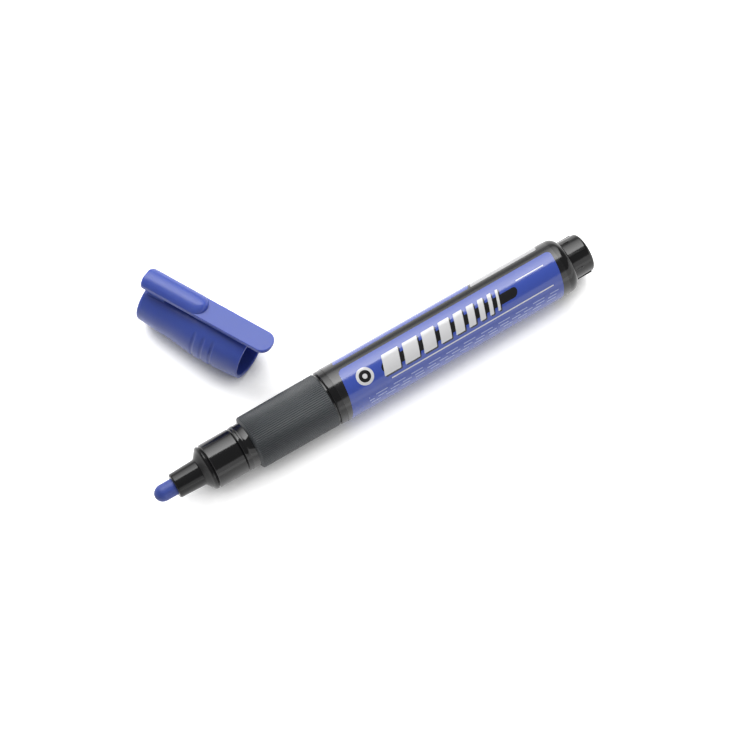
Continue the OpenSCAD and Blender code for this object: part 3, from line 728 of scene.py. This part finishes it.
def ring_places():
    """Places of the body's rings from its mouth to its neck, close together under the finger grooves."""
    grooved_from = min(FINGER_GROOVES) - 6 * FINE_PITCH
    grooved_to = max(FINGER_GROOVES) + 6 * FINE_PITCH
    fine_steps = round((grooved_to - grooved_from) / FINE_PITCH)
    before = [CAP_LEN - 0.6 - i * MOUTH_PITCH for i in range(9)]
    after = [grooved_from - 0.3 - i * NECK_PITCH for i in range(30)]
    grooved = [grooved_to - i * FINE_PITCH for i in range(fine_steps + 1)]
    return [*(x for x in before if x > grooved_to + 0.1), *grooved, *(x for x in after if x > CAP_NECK_AT - 0.3)]


def cap_body():
    """Turned body with its stepped bores, a domed end and the finger grooves."""
    socket_x = CAP_LEN - SOCKET_LEN
    inside = [(CAP_END_WALL, LINER_BORE_R), (LINER_END_X, LINER_BORE_R), (LINER_END_X, CONE_BORE_R),
              (socket_x, CONE_BORE_R), (socket_x, SOCKET_R), (CAP_LEN - MOUTH_CHAMFER, SOCKET_R)]
    mouth = [(CAP_LEN - 0.04, SOCKET_R + MOUTH_CHAMFER * 0.85), (CAP_LEN, SOCKET_R + MOUTH_CHAMFER + 0.05),
             *fillet(CAP_LEN - MOUTH_EDGE, CAP_MOUTH_R - MOUTH_EDGE, MOUTH_EDGE, 0, 90, 4)]
    outside = [(x, swelling_r(x)) for x in ring_places()]
    outside += [(CAP_NECK_AT - 0.9, CAP_NECK_R - 0.04), (CAP_RIM, CAP_END_R)]
    outside += fillet(CAP_RIM, CAP_END_R - CAP_RIM, CAP_RIM, 90, 180)[1:]
    dome_r = CAP_END_R - CAP_RIM
    outside += [(-CAP_DOME * (1 - u * u), dome_r * u) for u in (0.75, 0.5, 0.25, 0.04)]
    stations = inside + mouth + outside
    body = start_ring("cap_moulding", stations[0][1])
    bpy.ops.transform.translate(value=(0, 0, stations[0][0] * MM))
    draw_out(stations)
    press_in_grooves(body)
    close_up()
    place(body, Matrix.Rotation(math.pi / 2, 4, "Y"))
    return body


def start_strip(name, length, inset, root_r, tip_r):
    """Outline of a strip with rounded corners, an inset inside its full size, open for editing and selected."""
    start, end, half = inset, length - max(inset, 0), CLIP_W / 2 - inset
    bpy.ops.object.select_all(action="DESELECT")
    bpy.ops.mesh.primitive_plane_add(size=1)
    strip = bpy.context.object
    strip.name = strip.data.name = name
    strip.scale = ((end - start) * MM, 2 * half * MM, 1)
    strip.location = ((start + end) / 2 * MM, 0, 0)
    bpy.ops.object.transform_apply(location=True, rotation=True, scale=True)
    bpy.ops.object.mode_set(mode="EDIT")
    for corner_r, corner_x in ((root_r, start), (tip_r, end)):
        select_only(strip, "verts", lambda vertex: abs(vertex.co.x - corner_x * MM) < 0.001 * MM
                    and abs(abs(vertex.co.y) - half * MM) < 0.001 * MM)
        bpy.ops.mesh.bevel(offset=(corner_r - max(inset, 0)) * MM, segments=16, affect="VERTICES")
    bpy.ops.mesh.select_all(action="SELECT")
    bpy.ops.mesh.delete(type="ONLY_FACE")
    bpy.ops.mesh.select_all(action="SELECT")
    return strip


def raise_strip(levels, rim=0):
    """Raises the selected outline through levels of height, start, end and half width, and closes it.

    The first level is the outline as it was drawn. A narrow rim round a wide flat keeps it flat."""
    height, start, end, half = levels[0]
    bpy.ops.transform.translate(value=(0, 0, height * MM))
    for to, to_start, to_end, to_half in levels[1:]:
        bpy.ops.mesh.extrude_region_move(TRANSFORM_OT_translate={"value": (0, 0, (to - height) * MM)})
        scale = (to_end - to_start) / (end - start)
        still = (to_start - scale * start) / (1 - scale) if abs(scale - 1) > 1e-6 else 0
        bpy.ops.transform.resize(value=(scale, to_half / half, 1), center_override=(still * MM, 0, to * MM))
        height, start, end, half = to, to_start, to_end, to_half
    if rim:
        bpy.ops.mesh.select_all(action="SELECT")
        bpy.ops.mesh.fill_holes(sides=0)
        bpy.ops.mesh.normals_make_consistent(inside=False)
        select_only(bpy.context.object, "faces", lambda face: len(face.verts) > 8)
        bpy.ops.mesh.inset(thickness=rim * MM)
    close_up()


def clip_plate():
    """Flat plate with a round tip and softly rounded edges."""
    length, half = CLIP_END_X - CLIP_START_X, CLIP_W / 2
    steps = [math.radians(a) for a in (0, 22.5, 45, 67.5, 90)]
    edge = [(CLIP_EDGE * (1 - math.cos(a)), CLIP_EDGE * (1 - math.sin(a))) for a in steps]
    levels = [(height, inset, length - inset, half - inset) for height, inset in edge]
    levels += [(CLIP_T - height, inset, length - inset, half - inset) for height, inset in reversed(edge)]
    plate = start_strip("clip_plate", length, CLIP_EDGE, CLIP_ROOT_R, CLIP_TIP_R)
    raise_strip(levels, rim=CLIP_RIM)
    return plate


def raised_back():
    """Crowned back, round across and brought down at both ends, a hair wider than the plate that it stands on.

    Its levels lie closer together towards the crown, and the last one stops just short of it."""
    half = CLIP_W / 2 + BACK_PROUD
    crown_r = (half * half + BACK_H * BACK_H) / (2 * BACK_H)
    levels = [(-CLIP_T * 0.7, -BACK_PROUD, BACK_LEN, half)]
    for i in range(21):
        h = BACK_START + (BACK_H - BACK_START) * math.sin(math.pi / 2 * i / 20.5)
        ends = []
        for round_edge in (BACK_ROOT_EDGE, BACK_TIP_EDGE):
            over = max(0, h - (BACK_H - round_edge))
            ends.append(round_edge - math.sqrt(round_edge ** 2 - over ** 2))
        width = math.sqrt(crown_r ** 2 - (h + crown_r - BACK_H) ** 2)
        levels.append((h, ends[0] - BACK_PROUD, BACK_LEN - ends[1], width))
    back = start_strip("clip_back", BACK_LEN, -BACK_PROUD, CLIP_ROOT_R, BACK_TIP_R)
    raise_strip(levels)
    return back


def clip_foot():
    """Block that joins the clip to the closed end of the cap."""
    low, high = CAP_END_R - FOOT_SUNK, CAP_MAX_R + CLIP_GAP + CLIP_T / 2
    return make_block("clip_foot", (FOOT_LEN, FOOT_W, high - low), (FOOT_X + FOOT_LEN / 2, 0, (low + high) / 2))


def cap_place():
    """The cap's place on the table, found from the clip's mount and the way the cap lies."""
    turn = (Matrix.Rotation(math.radians(CAP_TURN), 4, "Z") @ Matrix.Rotation(math.radians(-CAP_TILT), 4, "Y")
            @ Matrix.Rotation(math.radians(-CAP_ROLL), 4, "X"))
    slot = Vector((CAP_MAX_AT, 0, CAP_MAX_R + CLIP_GAP / 2)) * MM
    start = Vector(MOUNTS["clip_slot"]["pos_m"]) - turn @ slot + Vector((0, 0, CAP_LIFT)) * MM
    return Matrix.Translation(start) @ turn


def make_cap():
    """Body, clip plate, raised back and foot in one moulding."""
    cap = cap_body()
    plate, back, foot = clip_plate(), raised_back(), clip_foot()
    place(plate, Matrix.Translation(Vector((CLIP_START_X, 0, CAP_MAX_R + CLIP_GAP)) * MM))
    place(back, Matrix.Translation(Vector((CLIP_START_X, 0, CAP_MAX_R + CLIP_GAP + CLIP_T)) * MM))
    unite(plate, back)
    unite(plate, foot)
    unite(cap, plate)
    bpy.ops.object.mode_set(mode="EDIT")
    bpy.ops.mesh.select_all(action="SELECT")
    bpy.ops.mesh.remove_doubles(threshold=SLIVER * MM)
    bpy.ops.mesh.dissolve_degenerate(threshold=SLIVER * MM)
    bpy.ops.mesh.normals_make_consistent(inside=False)
    bpy.ops.object.mode_set(mode="OBJECT")
    finished(cap, cap_plastic, "marker_body", "cap", cap_place(), sharp=40)


def make_liner():
    """Soft cup that seals on the nose, deep in the cap."""
    outer = LINER_BORE_R - PRESS_GAP
    inner = NOSE_REAR_R + LINER_PLAY
    stations = [(CAP_END_WALL + 1.5, inner), (LINER_END_X - 1, inner), (LINER_END_X, outer - LEAD_IN),
                (LINER_END_X, outer), (CAP_END_WALL + LEAD_IN, outer), (CAP_END_WALL, outer - LEAD_IN)]
    liner = turned("cap_inner_liner", stations, sides=96)
    place(liner, Matrix.Rotation(math.pi / 2, 4, "Y"))
    finished(liner, liner_plastic, "marker_body", "cap_liner", cap_place())


def finish_inner_parts():
    """The ball and the valve, apart from its spring, keep their CAD shapes."""
    for name, finish in (("valve_housing", natural_plastic), ("valve_stem", natural_plastic),
                         ("valve_retainer", natural_plastic), ("valve_seal", seal_rubber),
                         ("mixing_ball", ball_steel)):
        node = frame["nodes"][name]
        node.data.materials.clear()
        node.data.materials.append(finish)


# Studio, in metres

FLOOR_DISC_R = 1.8
FLOOR_R = 2.3
SWEEP_R = 0.5
WALL_TOP = 0.75

# Curve of the glow that the floor adds for the eye, over the share of open sky above the spot. It is painted
# light: dim beside the pieces as a painted contact shadow, and brightest a little way off, over their cast
# shadows.
PAINTED_FLOOR_GLOW = ((0, 0), (0.24, 0.01), (0.5, 0.33), (0.68, 0.86), (0.85, 0.9), (1, 0.5))
OPEN_SKY_REACH = 0.04
WORLD_LEVEL = 0.22
CAMERA_AT = Vector((0.12626, 0.22579, 0.63783))
CAMERA_TO = Vector((-0.016215, -0.003512, -0.00802))
CAMERA_LENS = 123.72


def seen_directly(nodes, links):
    """Light Path's sum of camera, glossy and transmission rays: 1 where the eye, a gloss or glass looks."""
    path = nodes.new("ShaderNodeLightPath")
    total = path.outputs["Is Camera Ray"]
    for name in ("Is Glossy Ray", "Is Transmission Ray"):
        join = nodes.new("ShaderNodeMath")
        join.operation = "MAXIMUM"
        links.new(total, join.inputs[0])
        links.new(path.outputs[name], join.inputs[1])
        total = join.outputs[0]
    return total


def make_floor():
    """White sweep: a round floor whose edge curves up all round. Its glow for the eye is painted light that keeps
    shadows tight: a painted contact shadow beside the pieces, and light painted over the rest of their shadows.
    """
    bpy.ops.object.select_all(action="DESELECT")
    bpy.ops.mesh.primitive_circle_add(vertices=96, radius=FLOOR_DISC_R, fill_type="NGON")
    floor = bpy.context.object
    floor.name = "floor"
    bpy.ops.object.mode_set(mode="EDIT")
    bpy.ops.mesh.select_mode(type="EDGE")
    select_only(floor, "edges", lambda edge: edge.is_boundary)
    turns = [math.radians(9 * i) for i in range(1, 11)]
    sweep = [(SWEEP_R * (1 - math.cos(a)), FLOOR_R + SWEEP_R * math.sin(a)) for a in turns]
    profile = [(0, FLOOR_DISC_R), (0, FLOOR_R), *sweep, (WALL_TOP, FLOOR_R + SWEEP_R)]
    draw_out([(height / MM, radius / MM) for height, radius in profile])
    bpy.ops.mesh.select_mode(type="VERT")
    bpy.ops.object.mode_set(mode="OBJECT")
    bpy.ops.object.shade_smooth_by_angle(angle=math.radians(40))
    material = bpy.data.materials.new("white_sweep")
    material.use_nodes = True
    nodes, links = material.node_tree.nodes, material.node_tree.links
    shader = nodes["Principled BSDF"]
    shader.inputs["Base Color"].default_value = (0.78, 0.78, 0.78, 1)
    shader.inputs["Roughness"].default_value = 0.9
    shader.inputs["Specular IOR Level"].default_value = 0.1
    shader.inputs["Emission Color"].default_value = (1, 1, 1, 1)
    # Occlusion shapes the floor's glow: a painted contact shadow next to the pieces, and painted light over their
    # cast shadows.
    open_sky = nodes.new("ShaderNodeAmbientOcclusion")
    open_sky.samples = 8
    open_sky.inputs["Distance"].default_value = OPEN_SKY_REACH
    painted_glow = nodes.new("ShaderNodeFloatCurve")
    points = painted_glow.mapping.curves[0].points
    points[0].location, points[1].location = PAINTED_FLOOR_GLOW[0], PAINTED_FLOOR_GLOW[-1]
    for place_on_curve in PAINTED_FLOOR_GLOW[1:-1]:
        points.new(*place_on_curve)
    painted_glow.mapping.update()
    links.new(open_sky.outputs["AO"], painted_glow.inputs["Value"])
    seen = nodes.new("ShaderNodeMath")
    seen.operation = "MULTIPLY"
    links.new(seen_directly(nodes, links), seen.inputs[0])
    links.new(painted_glow.outputs[0], seen.inputs[1])
    links.new(seen.outputs[0], shader.inputs["Emission Strength"])
    floor.data.materials.append(material)


def make_world():
    world = bpy.data.worlds.new("studio")
    bpy.context.scene.world = world
    world.use_nodes = True
    background = world.node_tree.nodes["Background"]
    background.inputs["Color"].default_value = (1, 1, 1, 1)
    background.inputs["Strength"].default_value = WORLD_LEVEL


def softbox(name, zenith, bearing, distance, size, radiance, falling=None, aside=0):
    """An area lamp that hangs at an angle from the zenith, on a bearing from +Y, and faces the marker.

    radiance is its brightness where 1 shows as white; falling is the share left at its far edge."""
    lamp = bpy.data.lights.new(name, "AREA")
    lamp.shape = "RECTANGLE"
    lamp.size, lamp.size_y = size
    lamp.energy = radiance * math.pi * size[0] * size[1]
    z, b = math.radians(zenith), math.radians(bearing)
    away = Vector((math.sin(z) * math.sin(b), math.sin(z) * math.cos(b), math.cos(z)))
    box = bpy.data.objects.new(name, lamp)
    bpy.context.collection.objects.link(box)
    facing = away.to_track_quat("Z", "Y").to_matrix().to_4x4()
    box.matrix_world = Matrix.Translation(RIM + away * distance) @ facing @ Matrix.Translation((aside, 0, 0))
    box.visible_camera = False
    if falling is not None:
        lamp.use_nodes = True
        nodes, links = lamp.node_tree.nodes, lamp.node_tree.links
        geometry = nodes.new("ShaderNodeNewGeometry")
        split = nodes.new("ShaderNodeSeparateXYZ")
        ramp = nodes.new("ShaderNodeMapRange")
        ramp.inputs["To Min"].default_value = falling
        ramp.inputs["To Max"].default_value = 1.0
        links.new(geometry.outputs["Parametric"], split.inputs[0])
        links.new(split.outputs["Y"], ramp.inputs["Value"])
        links.new(ramp.outputs["Result"], nodes["Emission"].inputs["Strength"])


def make_lamps():
    softbox("far_softbox", 45, 208, 0.7, (0.8, 0.74), 7.0, falling=0.1, aside=0.14)
    softbox("near_card", 71, 332, 0.9, (2.6, 0.62), 1.1)


def make_camera():
    camera = bpy.data.objects.new("camera", bpy.data.cameras.new("camera"))
    bpy.context.collection.objects.link(camera)
    camera.location = RIM + CAMERA_AT
    camera.rotation_euler = (CAMERA_TO - CAMERA_AT).to_track_quat("-Z", "Y").to_euler()
    camera.data.lens = CAMERA_LENS
    bpy.context.scene.camera = camera


make_camera()
make_floor()
make_world()
make_lamps()
make_barrel()
make_label()
make_grip()
make_collar()
make_nib_holder()
make_nib()
make_spring()
make_cap()
make_liner()
finish_inner_parts()
bpy.context.scene.view_settings.view_transform = "Standard"
